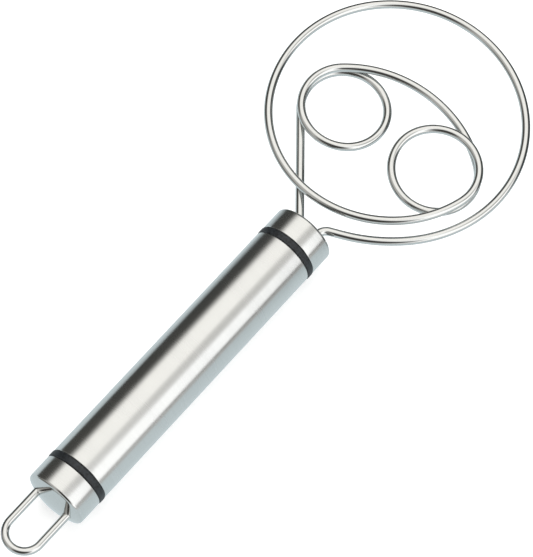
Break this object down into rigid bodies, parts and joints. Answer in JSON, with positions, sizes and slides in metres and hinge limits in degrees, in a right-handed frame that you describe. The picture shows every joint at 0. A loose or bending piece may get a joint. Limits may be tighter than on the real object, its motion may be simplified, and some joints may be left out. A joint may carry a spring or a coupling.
{
  "type": "dough whisk",
  "caption": "Steel dough whisk: one wire bent into eyes inside a round loop, on a tube handle with black rings and a hanging loop.",
  "frame": {"origin": "on the handle's axis, halfway along the grip tube", "axes": "+X along the handle towards the wire head, +Z square to the flat head, +Y to the side of the leg that runs to the first eye"},
  "size_m": [0.2653, 0.0984, 0.0242],
  "materials": {
    "polished_wire": "drawn stainless wire, tumble polished",
    "brushed_tube": "satin stainless tube, brushed round its girth",
    "black_plastic": "moulded, matte",
    "natural_plastic": "moulded, natural colour, hidden"
  },
  "bodies": {
    "root": {"whisk_wire": "polished_wire", "front_cap": "brushed_tube", "front_ring": "black_plastic", "front_plug": "natural_plastic", "grip_tube": "brushed_tube", "rear_ring": "black_plastic", "rear_plug": "natural_plastic", "rear_cap": "brushed_tube", "hanging_loop": "polished_wire"}
  },
  "joints": []
}
